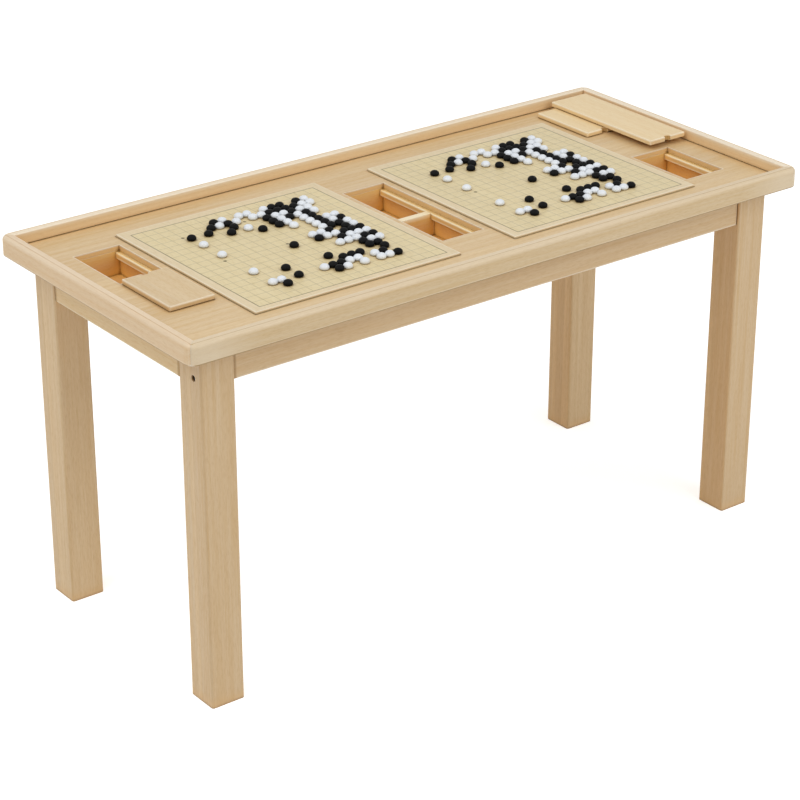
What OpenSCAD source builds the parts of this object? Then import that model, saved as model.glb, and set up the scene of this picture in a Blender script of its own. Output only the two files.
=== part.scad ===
/* [Top] */
// Height of the rim above the floor
table_h = 750; // [700:5:780]
// Width of the rim rails, seen from above
rail_w = 22; // [18:1:30]
// Height of the rim rails
rail_h = 39; // [36:1:50]
// Radius of the rim's outer corners, seen from above
corner_r = 20; // [10:1:20]
// Radius of the rim's outer top edge
arris_r = 9; // [3:0.5:10]
// Rounding of the rim's inner top edge
rim_ease_r = 2.5; // [0.5:0.5:4]
// Small rounding of the other wooden edges
ease_r = 1.5; // [0.5:0.5:2.5]
// Depth of the deck below the top of the rim
deck_drop = 23.5; // [20:0.5:26]
// Thickness of the deck
deck_t = 10; // [8:1:12]
// Depth of the groove in the rails that holds the deck
groove_d = 8; // [5:1:11]
// Room for the deck to swell, between its edge and the bottom of the groove
deck_play = 1; // [0.5:0.5:2]
// Room above the deck in the groove
groove_play = 1; // [0.2:0.2:2]
// Thickness of the loose tongue in each mitre
spline_t = 4; // [3:0.5:6]
// Length of the loose tongue across the mitre
spline_l = 12; // [8:1:16]
// Wood left at each end of the loose tongue
spline_cover = 6; // [4:0.5:7]

/* [Boards] */
// Spacing of the grid lines along the table
cell_x = 23.25; // [22.5:0.25:26]
// Spacing of the grid lines across the table
cell_y = 23.65; // [23:0.05:26]
// Board outside the grid, at the ends
margin_x = 19.75; // [16:0.25:30]
// Board outside the grid, at the front and back
margin_y = 19.15; // [16:0.05:30]
// Height of the board above the deck
board_rise = 4.5; // [2:0.5:8]
// Gap round the board in its opening
board_gap = 1.2; // [0.4:0.1:1.5]
// Width of the bearer under the board's edge
board_seat = 10; // [6:1:16]

/* [Deck] */
// Deck between the middle well and a board
mid_strip = 16; // [14:1:30]
// Deck between a board and an end well
end_strip = 17; // [14:1:40]
// Deck between a board and the long rails
side_strip = 70; // [62:1:110]

/* [Wells] */
// Inner width of the wells
well_w = 98; // [80:1:120]
// Inner length of the two end wells
end_well_len = 162; // [120:2:172]
// Distance of an end well's middle from the table's long axis
end_well_y = 111.5; // [95:0.5:114]
// Inner length of the middle well
mid_well_len = 314; // [240:2:380]
// Depth of the wells below the deck's top
well_depth = 58.5; // [45:0.5:66]
// Thickness of the wells' sides and ends
well_wall = 8; // [6:0.5:10]
// Thickness of the wells' floors
floor_t = 6; // [4:0.5:9]
// How far a ledge stands out into the well
ledge_w = 8.5; // [4:0.5:12]
// Height of a ledge
ledge_h = 12; // [8:1:20]
// Rounding of a ledge's free top edge
ledge_r = 3; // [1:0.5:4]
// Thickness of the middle well's divider
divider_t = 15; // [8:1:20]

/* [Lids] */
// Thickness of the lids
lid_t = 10.4; // [7:0.2:12]
// Rounding of a lid's upper and lower edges
lid_ease_r = 2.5; // [0.5:0.5:3]
// Gap round a lid in its well
lid_gap = 1; // [0.5:0.5:3]
// Depth of a lid's top below the deck's top, in its well
lid_recess = 2; // [0:0.5:4]
// Radius of the finger notch
notch_r = 8; // [5:0.5:12]
// Rounding of a lid's corners, seen from above
lid_corner_r = 3; // [1:0.5:6]
// From the left well to its lid, which lies in front of it
left_lid_off = 3.5; // [2:0.5:20]
// From the right well to its lid, which lies behind it
right_lid_off = 143; // [100:1:170]
// Middle of the right lid from the middle of its well, along the table
right_lid_x = 4; // [-10:1:10]
// Middle of the long lid from the middle of the right lid, along the table
long_lid_x = 50; // [20:1:54]
// Middle of the long lid from the middle of the right lid, across the table
long_lid_y = 61; // [55:1:75]

/* [Legs] */
// Side of the square leg
leg_w = 70.5; // [55:0.5:78]
// Rounding of the leg's edges
leg_r = 5; // [1:0.5:8]
// From the rim's outer end face to the leg
leg_inset_x = 47; // [40:1:60]
// From the rim's outer long face to the leg
leg_inset_y = 42; // [36:1:56]

/* [Aprons] */
// Height of the aprons
apron_h = 76; // [68:1:100]
// Thickness of the front and back aprons
apron_t = 30; // [26:1:34]
// Thickness of the end aprons
end_apron_t = 25; // [18:1:28]
// How far the front and back aprons stand behind the legs' faces
apron_back_set = 6; // [2:0.5:14]
// How far the end aprons stand behind the legs' faces
end_apron_set = 2; // [1:0.5:8]
// Rounding of the aprons' upright corners beside the legs
apron_end_r = 2.5; // [0.5:0.5:3]
// Thickness of the tenons
tenon_t = 9; // [6:1:12]
// Length of the tenons
tenon_l = 30; // [18:1:36]
// Shoulder above and below a tenon
tenon_shoulder = 8; // [4:1:14]
// Height of the bearers
bearer_h = 30; // [20:1:45]
// How deep the bearers are let into the aprons
housing_d = 6; // [3:1:10]

/* [Bolts] */
// Diameter of the leg bolts
bolt_d = 6; // [5:1:8]
// Diameter of a bolt's head
bolt_head_d = 10.5; // [9:0.5:11]
// Height of a bolt's head
bolt_head_h = 6; // [4:0.5:8]
// Across the corners of the bolt's hexagon socket
bolt_socket = 5.5; // [4:0.5:7]
// Diameter of the sunk hole for the bolt's head
bolt_sink_d = 12; // [11.5:0.5:14]
// Depth of the sunk hole for the bolt's head
bolt_sink = 9.5; // [9:0.5:20]
// From the apron's lower edge to the lower bolt
bolt_edge = 15; // [10:0.5:18]
// From the middle of the front and back aprons to their bolts, inwards
bolt_in = 3; // [0:0.5:4]
// Spacing of a joint's two bolts
bolt_pitch = 43; // [30:1:50]
// From the apron's end to the barrel nut
nut_in = 25; // [18:1:35]
// Diameter of the barrel nuts
nut_d = 10; // [9:0.5:12]
// Length of the barrel nuts
nut_l = 14; // [12:1:16]
// How far a bolt runs past the middle of its nut
bolt_past = 8; // [6:1:12]

/* [Screws] */
// Diameter of the deck screws
screw_d = 4; // [3:0.5:5]
// Length of the deck screws under the head
screw_l = 38; // [30:1:50]
// How deep the deck screws reach into the deck
screw_bite = 7; // [4:0.5:7]
// Diameter of a deck screw's head
screw_head_d = 8; // [7:0.5:9]
// Height of a deck screw's head
screw_head_h = 3; // [2:0.5:4]
// Distance of the outer deck screws from the table's middle
screw_x = 300; // [200:10:400]
// Diameter of the floor screws
floor_screw_d = 3; // [2.5:0.5:3.5]
// Length of the floor screws
floor_screw_l = 20; // [16:1:30]
// Diameter of a floor screw's countersunk head
floor_head_d = 6; // [5:0.5:7]
// From a well's end to its nearest floor screw
floor_screw_end = 25; // [15:1:40]

/* [Stones] */
// Spacing of the stones along the table
stone_pitch_x = 19; // [17:0.5:22]
// Spacing of the stones across the table
stone_pitch_y = 20.4; // [19:0.1:22]
// Least gap between neighbouring stones
stone_gap = 0.3; // [0.2:0.1:1.5]
// Height of a stone
stone_h = 10.8; // [7:0.2:12]
// Height of a stone's widest part
stone_edge = 3; // [1.6:0.2:3.4]
// Diameter of a stone's flat underside
stone_foot_d = 14; // [12:0.5:15]
// From the middle of the left board to its stones' middle column
left_shift_x = 1.5; // [-14:0.5:14]
// From the middle of the left board to its stones' middle row
left_shift_y = -22; // [-24:0.5:24]
// From the middle of the right board to its stones' middle column
right_shift_x = -12; // [-14:0.5:14]
// From the middle of the right board to its stones' middle row
right_shift_y = -23; // [-24:0.5:24]

/* [Hidden] */
// Cells of the grid each way
cells = 18;
// Middle column and row of the stones' own grid, counted from its back left corner
stone_mid = 9;
// Columns of the black stones, one list per row, from the back row to the front
black_rows = [
    [6, 13, 14, 16],
    [5, 7, 12, 13, 14, 15],
    [2, 4, 7, 11, 14],
    [6, 11, 13, 15],
    [9, 11, 15],
    [15],
    [15, 17],
    [15, 16],
    [14, 16],
    [9, 12, 15, 16, 17],
    [14],
    [16, 17],
    [15],
    [5, 10, 15, 16],
    [11, 12, 13, 16],
    [5, 9, 10, 15],
    [3, 9, 16]
];
// Columns of the white stones, in the same way
white_rows = [
    [7, 9, 10, 12, 17],
    [6, 8, 10, 11, 16, 17],
    [12, 13, 15, 16],
    [8, 12, 14, 16],
    [2, 12, 14],
    [12, 14, 16, 17],
    [14, 16],
    [2, 14, 17],
    [12, 13, 17],
    [13, 14],
    [15, 16, 17],
    [13, 14, 15],
    [2, 16, 17],
    [],
    [],
    [2, 3, 8, 11, 12, 14],
    [10, 12, 14, 15]
];

// Heights, from the rim down
rim_z = table_h - rail_h;
deck_top = table_h - deck_drop;
deck_z = deck_top - deck_t;
ledge_top = deck_top - lid_recess - lid_t;
floor_z = deck_top - well_depth;
apron_z = deck_z - apron_h;
bolt_zs = [apron_z + bolt_edge, apron_z + bolt_edge + bolt_pitch];

// Sizes in plan, from the middle outwards
board_x = cells * cell_x + 2 * margin_x;
board_y = cells * cell_y + 2 * margin_y;
board_t = deck_t + board_rise;
board_cx = well_w / 2 + mid_strip + board_x / 2;
end_well_x = board_cx + board_x / 2 + end_strip + well_w / 2;
end_apron_in = end_well_x + well_w / 2 + well_wall;
end_apron_cx = end_apron_in + end_apron_t / 2;
leg_out_x = end_apron_in + end_apron_t + end_apron_set;
half_x = leg_out_x + leg_inset_x;
tray_x = half_x - rail_w;
tray_y = board_y / 2 + side_strip;
half_y = tray_y + rail_w;
leg_out_y = half_y - leg_inset_y;
leg_in_x = leg_out_x - leg_w;
leg_in_y = leg_out_y - leg_w;
apron_cy = leg_out_y - apron_back_set - apron_t / 2;
apron_in_y = apron_cy - apron_t / 2;

// Wells as middle x, middle y and inner length
left_well = [-end_well_x, end_well_y, end_well_len];
right_well = [end_well_x, -end_well_y, end_well_len];
mid_well = [0, 0, mid_well_len];

// Bearers as the x of their two faces, for the right half of the table
mid_bearer = [well_w / 2 + well_wall, well_w / 2 + mid_strip + board_seat];
end_bearer = [
    board_cx + board_x / 2 - board_seat,
    end_well_x - well_w / 2 - well_wall
];

// Lids
lid_w = well_w - 2 * lid_gap;
short_lid_l = end_well_len - 2 * lid_gap;
long_lid_l = mid_well_len - 2 * lid_gap;
left_lid_at = [
    left_well[0],
    left_well[1] - end_well_len / 2 - left_lid_off - short_lid_l / 2,
    deck_top
];
right_lid_at = [
    right_well[0] + right_lid_x,
    right_well[1] + end_well_len / 2 + right_lid_off + short_lid_l / 2,
    deck_top
];
long_lid_at = right_lid_at + [long_lid_x, -long_lid_y, lid_t];

// Rim mitre: its length in plan, and the tongue that lies in it
diagonal = sqrt(2);
mitre_l = rail_w * diagonal - corner_r * (diagonal - 1);
spline_w = mitre_l - 2 * spline_cover;
spline_in = rail_w - mitre_l / 2 / diagonal;
spline_z = (deck_top + table_h) / 2;

// Stones
stone_d = min(stone_pitch_x, stone_pitch_y) - stone_gap;
dome_h = stone_h - stone_edge;
dome_r = (pow(stone_d / 2, 2) + pow(dome_h, 2)) / (2 * dome_h);
belly_z = (pow(stone_d / 2, 2) + pow(stone_edge, 2) - pow(stone_foot_d / 2, 2)) / (2 * stone_edge);
belly_r = sqrt(pow(belly_z, 2) + pow(stone_foot_d / 2, 2));

// Clearances of holes round what is in them
bolt_play = 0.5;
thread_play = 0.1;
nut_play = 0.2;
head_play = 1;
// Extra length of a cut, so that it runs out of the solid
over = 1;
$fn = 64;

// Colours
frame_wood = "#C8AC84";
rim_wood = "#D8BC94";
deck_wood = "#DEC299";
board_wood = "#E2D5AE";
lid_wood = "#E0C6A0";
well_wood = "#BE824B";
steel = "#9A9A98";
dark_steel = "#2C2A28";
black_stone = "#131314";
white_stone = "#EDEDEA";

// Corner of a square that lies outside a quarter circle of radius r
module round_cut(r) {
    difference() {
        square(2 * r);
        circle(r);
    }
}

// Rectangle from the origin, with rounded corners
module eased_rect(w, h, r) {
    difference() {
        square([w, h]);
        translate([w - r, h - r]) round_cut(r);
        translate([r, h - r]) rotate(90) round_cut(r);
        translate([r, r]) rotate(180) round_cut(r);
        translate([w - r, r]) rotate(270) round_cut(r);
    }
}

// Section of a rim rail: its inner face is at x = 0
module rail_section() {
    difference() {
        square([rail_w, rail_h]);
        translate([rail_w - arris_r, rail_h - arris_r]) round_cut(arris_r);
        translate([rim_ease_r, rail_h - rim_ease_r]) rotate(90) round_cut(rim_ease_r);
        translate([rail_w - ease_r, ease_r]) rotate(270) round_cut(ease_r);
    }
}

// Flat plate with its middle at the origin and its underside at z = 0, with rounded corners and edges
module eased_plate(w, l, t, plan_r, edge_r) {
    intersection() {
        linear_extrude(t) translate([-w / 2, -l / 2]) eased_rect(w, l, plan_r);
        rotate([90, 0, 0]) linear_extrude(l + 2 * over, center = true)
            translate([-w / 2, 0]) eased_rect(w, t, edge_r);
        rotate([90, 0, 90]) linear_extrude(w + 2 * over, center = true)
            translate([-l / 2, 0]) eased_rect(l, t, edge_r);
    }
}

// Places a tongue at the two mitres of the front rail of a rim that reaches a and b from the middle
module at_mitres(a, b) {
    for (s = [-1, 1])
        translate([s * (a - spline_in), -(b - spline_in), spline_z]) rotate(45 * s) children();
}

// Loose tongue: its width lies along the mitre
module spline() {
    cube([spline_l, spline_w, spline_t], center = true);
}

// Front rail of a rim that reaches a and b from the middle
module rim_rail(a, b) {
    color(rim_wood) difference() {
        intersection() {
            union() {
                translate([0, -(b - rail_w), rim_z]) rotate([90, 0, -90])
                    linear_extrude(2 * (a - corner_r), center = true) rail_section();
                for (s = [-1, 1])
                    translate([s * (a - corner_r), -(b - corner_r), rim_z])
                        rotate(s > 0 ? 270 : 180) rim_corner();
            }
            translate([0, 0, rim_z - over]) linear_extrude(rail_h + 2 * over) polygon([
                [-a - over, -b - over],
                [a + over, -b - over],
                [a - 2 * rail_w, -b + 2 * rail_w],
                [-a + 2 * rail_w, -b + 2 * rail_w]
            ]);
        }
        deck_blank(a - rail_w + groove_d, b - rail_w + groove_d, deck_t + groove_play);
        at_mitres(a, b) spline();
    }
}

// Rounded corner of the rim, about the corner's own axis
module rim_corner() {
    rotate_extrude(angle = 90) intersection() {
        translate([corner_r - rail_w, 0]) rail_section();
        square([corner_r, rail_h]);
    }
}

module rim_front() rim_rail(half_x, half_y);
module rim_back() rotate(180) rim_rail(half_x, half_y);
module rim_left() rotate(270) rim_rail(half_y, half_x);
module rim_right() rotate(90) rim_rail(half_y, half_x);

module rim_splines() {
    color(deck_wood) {
        at_mitres(half_x, half_y) spline();
        rotate(180) at_mitres(half_x, half_y) spline();
    }
}

// Slab of thickness t on the deck's underside that reaches x and y from the middle
module deck_blank(x, y, t) {
    translate([-x, -y, deck_z]) cube([2 * x, 2 * y, t]);
}

module deck_panel() {
    edge = groove_d - deck_play;
    color(deck_wood) difference() {
        deck_blank(tray_x + edge, tray_y + edge, deck_t);
        for (w = [left_well, mid_well, right_well]) well_cut(w);
        for (s = [-1, 1]) board_cut(s);
        at_deck_screws() screw_cut();
    }
}

// Opening of a well in the deck
module well_cut(w) {
    translate([w[0] - well_w / 2, w[1] - w[2] / 2, deck_z - over])
        cube([well_w, w[2], deck_t + 2 * over]);
}

// Opening of a board in the deck
module board_cut(s) {
    x = board_x + 2 * board_gap;
    y = board_y + 2 * board_gap;
    translate([s * board_cx - x / 2, -y / 2, deck_z - over]) cube([x, y, deck_t + 2 * over]);
}

module board(s) {
    color(board_wood) translate([s * board_cx, 0, deck_z])
        eased_plate(board_x, board_y, board_t, ease_r, ease_r);
}

module board_left() board(-1);
module board_right() board(1);

// Places something at every leg bolt: the origin is on the leg's outer face and x runs inwards.
// The variable $inner is the direction, along y, of the apron's inner face.
module at_bolts() {
    for (s = [-1, 1], z = bolt_zs) {
        $inner = -s;
        translate([s * leg_out_x, bolt_in - apron_cy, z]) rotate(s < 0 ? 0 : 180) children();
        translate([s * end_apron_cx, leg_out_y, z]) rotate(270) children();
    }
}

// Holes for a bolt, through the leg and into the apron
module bolt_cut() {
    rotate([0, 90, 0]) {
        translate([0, 0, -over]) cylinder(d = bolt_sink_d, h = bolt_sink + over);
        cylinder(d = bolt_d + bolt_play, h = leg_w + nut_in + bolt_past + over);
    }
}

// Blind cross hole for a barrel nut, from the apron's inner face
module nut_cut() {
    translate([leg_w + nut_in, $inner * apron_t, 0]) rotate([90 * $inner, 0, 0])
        cylinder(d = nut_d + nut_play, h = apron_t + nut_l / 2 + nut_play);
}

module bolt() {
    rotate([0, 90, 0]) difference() {
        union() {
            translate([0, 0, bolt_sink - bolt_head_h]) cylinder(d = bolt_head_d, h = bolt_head_h);
            translate([0, 0, bolt_sink]) cylinder(d = bolt_d, h = leg_w - bolt_sink + nut_in + bolt_past);
        }
        translate([0, 0, bolt_sink - bolt_head_h - over])
            cylinder(d = bolt_socket, h = bolt_head_h / 2 + over, $fn = 6);
    }
}

module barrel_nut() {
    translate([leg_w + nut_in, 0, 0]) difference() {
        rotate([90, 0, 0]) cylinder(d = nut_d, h = nut_l, center = true);
        rotate([0, 90, 0]) cylinder(d = bolt_d + thread_play, h = nut_d + 2 * over, center = true);
    }
}

module leg_bolts() color(dark_steel) at_bolts() bolt();
module barrel_nuts() color(steel) at_bolts() barrel_nut();

// Tenon that reaches out along x from the origin, on the middle of an apron's end, and starts inside it
module tenon(l) {
    translate([-over, -tenon_t / 2, apron_z + tenon_shoulder])
        cube([l + over, tenon_t, apron_h - 2 * tenon_shoulder]);
}

// Leg at the front or back (sy) of the left or right end (sx)
module leg(sx, sy) {
    color(frame_wood) difference() {
        translate([sx * (leg_out_x - leg_w / 2), sy * (leg_out_y - leg_w / 2), 0])
            linear_extrude(deck_z) translate([-leg_w / 2, -leg_w / 2]) eased_rect(leg_w, leg_w, leg_r);
        at_bolts() bolt_cut();
        if (sy < 0)
            translate([sx * end_apron_cx, -leg_in_y, 0]) rotate(270) tenon(tenon_l + over);
        else
            translate([sx * leg_in_x, apron_cy, 0]) rotate(sx < 0 ? 180 : 0) tenon(tenon_l + over);
    }
}

module leg_front_left() leg(-1, -1);
module leg_front_right() leg(1, -1);
module leg_back_left() leg(-1, 1);
module leg_back_right() leg(1, 1);

// Board on edge along x that carries the top, with all its edges eased
module apron_blank(l, t) {
    intersection() {
        translate([0, 0, apron_z]) rotate([90, 0, 90])
            linear_extrude(l, center = true) translate([-t / 2, 0]) eased_rect(t, apron_h, ease_r);
        translate([-l / 2, -t / 2, apron_z]) linear_extrude(apron_h) eased_rect(l, t, apron_end_r);
    }
}

// Apron of the front or back, without its joints to the legs
module long_apron(s) {
    difference() {
        translate([0, s * apron_cy, 0]) apron_blank(2 * leg_in_x, apron_t);
        for (b = [-1, 1]) {
            bearer_body(b, mid_bearer);
            bearer_body(b, end_bearer);
        }
        at_deck_screws() screw_cut();
    }
}

module apron_front() {
    color(frame_wood) difference() {
        long_apron(-1);
        at_bolts() {
            bolt_cut();
            nut_cut();
        }
    }
}

module apron_back() {
    color(frame_wood) {
        long_apron(1);
        for (s = [-1, 1])
            translate([s * leg_in_x, apron_cy, 0]) rotate(s < 0 ? 180 : 0) tenon(tenon_l);
    }
}

module end_apron(s) {
    color(frame_wood) {
        difference() {
            translate([s * end_apron_cx, 0, 0]) rotate(90) apron_blank(2 * leg_in_y, end_apron_t);
            at_bolts() {
                bolt_cut();
                nut_cut();
            }
            at_deck_screws() screw_cut();
        }
        translate([s * end_apron_cx, -leg_in_y, 0]) rotate(270) tenon(tenon_l);
    }
}

module apron_left() end_apron(-1);
module apron_right() end_apron(1);

// Bearer on the left or right half, between the two x of its faces
module bearer_body(s, faces) {
    w = faces[1] - faces[0];
    l = 2 * (apron_in_y + housing_d);
    translate([s * (faces[0] + faces[1]) / 2 - w / 2, -l / 2, deck_z - bearer_h]) cube([w, l, bearer_h]);
}

module bearer_end_left() color(deck_wood) bearer_body(-1, end_bearer);
module bearer_mid_left() color(deck_wood) bearer_body(-1, mid_bearer);
module bearer_mid_right() color(deck_wood) bearer_body(1, mid_bearer);
module bearer_end_right() color(deck_wood) bearer_body(1, end_bearer);

// Places something at every deck screw: the origin is where the head bears on the wood
module at_deck_screws() {
    z = deck_z + screw_bite - screw_l;
    for (s = [-1, 1]) {
        for (x = [-screw_x, 0, screw_x]) translate([x, s * apron_cy, z]) children();
        translate([s * end_apron_cx, 0, z]) children();
    }
}

module screw_cut() {
    cylinder(d = screw_d + thread_play, h = screw_l + thread_play);
    translate([0, 0, -deck_z]) cylinder(d = screw_head_d + head_play, h = deck_z);
}

module deck_screws() {
    color(steel) at_deck_screws() {
        cylinder(d = screw_d, h = screw_l);
        translate([0, 0, -screw_head_h]) cylinder(d = screw_head_d, h = screw_head_h);
    }
}

// Places something at a well's floor screws, under the middle of its sides: n along each side
module at_floor_screws(w, n) {
    span = w[2] - 2 * floor_screw_end;
    for (s = [-1, 1], i = [0 : n - 1])
        translate([
            w[0] + s * (well_w + well_wall) / 2,
            w[1] + span * (i / (n - 1) - 0.5),
            floor_z - floor_t
        ]) children();
}

// Countersunk screw, or its hole when play is more than zero
module floor_screw(play) {
    head_h = (floor_head_d - floor_screw_d) / 2;
    cylinder(d1 = floor_head_d + play, d2 = floor_screw_d + play, h = head_h);
    cylinder(d = floor_screw_d + play, h = floor_screw_l + play);
}

module floor_screws() {
    color(steel) {
        at_floor_screws(left_well, 2) floor_screw(0);
        at_floor_screws(right_well, 2) floor_screw(0);
        at_floor_screws(mid_well, 3) floor_screw(0);
    }
}

// Long side of a well, on its left or right
module well_side(w, s, n) {
    color(well_wood) difference() {
        translate([w[0] + s * (well_w + well_wall) / 2 - well_wall / 2, w[1] - w[2] / 2 - well_wall, floor_z])
            cube([well_wall, w[2] + 2 * well_wall, deck_z - floor_z]);
        at_floor_screws(w, n) floor_screw(thread_play);
    }
}

// End of a well, at its front or back
module well_end(w, s) {
    color(well_wood)
        translate([w[0] - well_w / 2, w[1] + s * (w[2] + well_wall) / 2 - well_wall / 2, floor_z])
            cube([well_w, well_wall, deck_z - floor_z]);
}

module well_floor(w, n) {
    x = well_w + 2 * well_wall;
    y = w[2] + 2 * well_wall;
    color(well_wood) difference() {
        translate([w[0] - x / 2, w[1] - y / 2, floor_z - floor_t]) cube([x, y, floor_t]);
        at_floor_screws(w, n) floor_screw(thread_play);
    }
}

// Strip that carries the lid, on the left or right side of a well
module well_ledge(w, s) {
    color(well_wood) translate([w[0] + s * (well_w / 2 - ledge_w), w[1], ledge_top - ledge_h])
        rotate([90, 0, s < 0 ? 180 : 0]) linear_extrude(w[2], center = true)
            difference() {
                square([ledge_w, ledge_h]);
                translate([ledge_r, ledge_h - ledge_r]) rotate(90) round_cut(ledge_r);
            }
}

module left_well_outer_side() well_side(left_well, -1, 2);
module left_well_inner_side() well_side(left_well, 1, 2);
module left_well_front_end() well_end(left_well, -1);
module left_well_back_end() well_end(left_well, 1);
module left_well_floor() well_floor(left_well, 2);
module left_well_outer_ledge() well_ledge(left_well, -1);
module left_well_inner_ledge() well_ledge(left_well, 1);

module right_well_outer_side() well_side(right_well, 1, 2);
module right_well_inner_side() well_side(right_well, -1, 2);
module right_well_front_end() well_end(right_well, -1);
module right_well_back_end() well_end(right_well, 1);
module right_well_floor() well_floor(right_well, 2);
module right_well_outer_ledge() well_ledge(right_well, 1);
module right_well_inner_ledge() well_ledge(right_well, -1);

module mid_well_left_side() well_side(mid_well, -1, 3);
module mid_well_right_side() well_side(mid_well, 1, 3);
module mid_well_front_end() well_end(mid_well, -1);
module mid_well_back_end() well_end(mid_well, 1);
module mid_well_floor() well_floor(mid_well, 3);
module mid_well_left_ledge() well_ledge(mid_well, -1);
module mid_well_right_ledge() well_ledge(mid_well, 1);

// Divider, notched round the two ledges
module mid_well_divider() {
    a = well_w / 2;
    b = a - ledge_w;
    low = ledge_top - ledge_h;
    color(well_wood) rotate([90, 0, 0]) linear_extrude(divider_t, center = true) polygon([
        [-a, floor_z],
        [a, floor_z],
        [a, low],
        [b, low],
        [b, ledge_top],
        [-b, ledge_top],
        [-b, low],
        [-a, low]
    ]);
}

// Lid with a finger notch in the edge at +y
module lid(l) {
    color(lid_wood) difference() {
        eased_plate(lid_w, l, lid_t, lid_corner_r, lid_ease_r);
        translate([0, l / 2, -over]) cylinder(r = notch_r, h = lid_t + 2 * over);
    }
}

module lid_left() translate(left_lid_at) lid(short_lid_l);
module lid_right() translate(right_lid_at) rotate(180) lid(short_lid_l);
module lid_long() translate(long_lid_at) rotate(180) lid(long_lid_l);

// Stone with a flat underside, a rounded belly and a domed top
module stone() {
    r = stone_d / 2;
    intersection() {
        translate([0, 0, stone_h - dome_r]) sphere(dome_r, $fn = 40);
        translate([0, 0, belly_z]) sphere(belly_r, $fn = 40);
        translate([-r - over, -r - over, 0]) cube([2 * (r + over), 2 * (r + over), stone_h + over]);
    }
}

// Stones of one colour on the left or right board
module stones(s, rows) {
    x = s < 0 ? left_shift_x : right_shift_x;
    y = s < 0 ? left_shift_y : right_shift_y;
    for (row = [0 : len(rows) - 1], col = rows[row])
        translate([
            s * board_cx + x + (col - stone_mid) * stone_pitch_x,
            y + (stone_mid - row) * stone_pitch_y,
            deck_top + board_rise
        ]) stone();
}

module black_stones_left() color(black_stone) stones(-1, black_rows);
module white_stones_left() color(white_stone) stones(-1, white_rows);
module black_stones_right() color(black_stone) stones(1, black_rows);
module white_stones_right() color(white_stone) stones(1, white_rows);

rim_front();
rim_back();
rim_left();
rim_right();
rim_splines();
deck_panel();
board_left();
board_right();
leg_front_left();
leg_front_right();
leg_back_left();
leg_back_right();
apron_front();
apron_back();
apron_left();
apron_right();
bearer_end_left();
bearer_mid_left();
bearer_mid_right();
bearer_end_right();
left_well_outer_side();
left_well_inner_side();
left_well_front_end();
left_well_back_end();
left_well_floor();
left_well_outer_ledge();
left_well_inner_ledge();
right_well_outer_side();
right_well_inner_side();
right_well_front_end();
right_well_back_end();
right_well_floor();
right_well_outer_ledge();
right_well_inner_ledge();
mid_well_left_side();
mid_well_right_side();
mid_well_front_end();
mid_well_back_end();
mid_well_floor();
mid_well_left_ledge();
mid_well_right_ledge();
mid_well_divider();
lid_left();
lid_right();
lid_long();
leg_bolts();
barrel_nuts();
deck_screws();
floor_screws();
black_stones_left();
white_stones_left();
black_stones_right();
white_stones_right();
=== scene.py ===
"""Weiqi game table: the finishes, stones, light and camera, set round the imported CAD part.

The CAD gives every wooden and steel piece its shape. This script gives each piece its finish and puts
smooth stones in place of the CAD's stones. Lengths are in metres, in the CAD's own frame: x runs along
the table, y runs from the front to the back and z runs up from the floor.
"""

import math

import bpy
import numpy as np
from bpy.props import FloatProperty, FloatVectorProperty, IntProperty, PointerProperty
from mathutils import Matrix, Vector


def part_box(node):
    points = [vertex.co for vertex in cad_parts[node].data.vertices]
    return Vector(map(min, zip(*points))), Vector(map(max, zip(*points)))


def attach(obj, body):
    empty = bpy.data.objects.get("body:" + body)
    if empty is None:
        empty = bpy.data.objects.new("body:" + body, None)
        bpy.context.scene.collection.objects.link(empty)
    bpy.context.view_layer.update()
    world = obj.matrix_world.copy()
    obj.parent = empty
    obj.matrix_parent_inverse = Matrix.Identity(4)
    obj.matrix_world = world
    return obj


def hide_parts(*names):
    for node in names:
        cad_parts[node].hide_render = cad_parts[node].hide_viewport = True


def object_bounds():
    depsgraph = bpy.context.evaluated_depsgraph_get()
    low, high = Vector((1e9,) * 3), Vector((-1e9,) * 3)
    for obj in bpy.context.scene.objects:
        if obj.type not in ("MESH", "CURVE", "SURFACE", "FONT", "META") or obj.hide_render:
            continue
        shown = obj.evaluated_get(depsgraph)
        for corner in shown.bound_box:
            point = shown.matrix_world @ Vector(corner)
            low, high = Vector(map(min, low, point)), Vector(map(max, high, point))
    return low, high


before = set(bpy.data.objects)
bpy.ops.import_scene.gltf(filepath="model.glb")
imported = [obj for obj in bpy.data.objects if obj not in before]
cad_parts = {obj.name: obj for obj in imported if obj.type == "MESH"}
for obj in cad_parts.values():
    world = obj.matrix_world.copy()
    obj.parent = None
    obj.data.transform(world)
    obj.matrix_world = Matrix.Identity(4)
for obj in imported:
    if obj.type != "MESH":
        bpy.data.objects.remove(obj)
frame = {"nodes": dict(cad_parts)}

bl_info = {
    "name": "Weiqi Game Table",
    "version": (1, 0, 0),
    "blender": (4, 5, 0),
    "location": "View3D > Sidebar > Weiqi Table",
    "description": "Finishes of a two-board weiqi table, its stones and a plain studio",
    "category": "Object",
}

CAD_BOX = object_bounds()
MM = 0.001
X, Y, Z = range(3)
NO_TINT = (1, 1, 1, 1)

# Numbers of sockets that share their names with others: of a Mix node for colours, and of a MapRange node
FACTOR, A, B, MIXED = 0, 6, 7, 2
VALUE, FROM_LOW, FROM_HIGH, TO_LOW, TO_HIGH = range(5)

# Shades of a wood colour: the power that each channel is raised to, and the gain after it
EARLY, LATE, PORE = (0.90, 1.0), (1.34, 0.92), (2.2, 0.8)
# SANDED is a painted highlight with sanded wear, LINED and GATHERED are painted shade, and SHELTERED is
# painted warm bounce light
SANDED, LINED, SHELTERED, GATHERED = (0.35, 1.0), (1.9, 0.5), (1.5, 1.1), (2.6, 0.42)
# Painted shade on the walls of the lids' finger notches and of the legs' bolt holes
NOTCH, BOLT_HOLE = (2.4, 0.45), (3.0, 0.2)
# How far the dullest stave's colour is drawn towards grey
DULLNESS = 0.22

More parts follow.
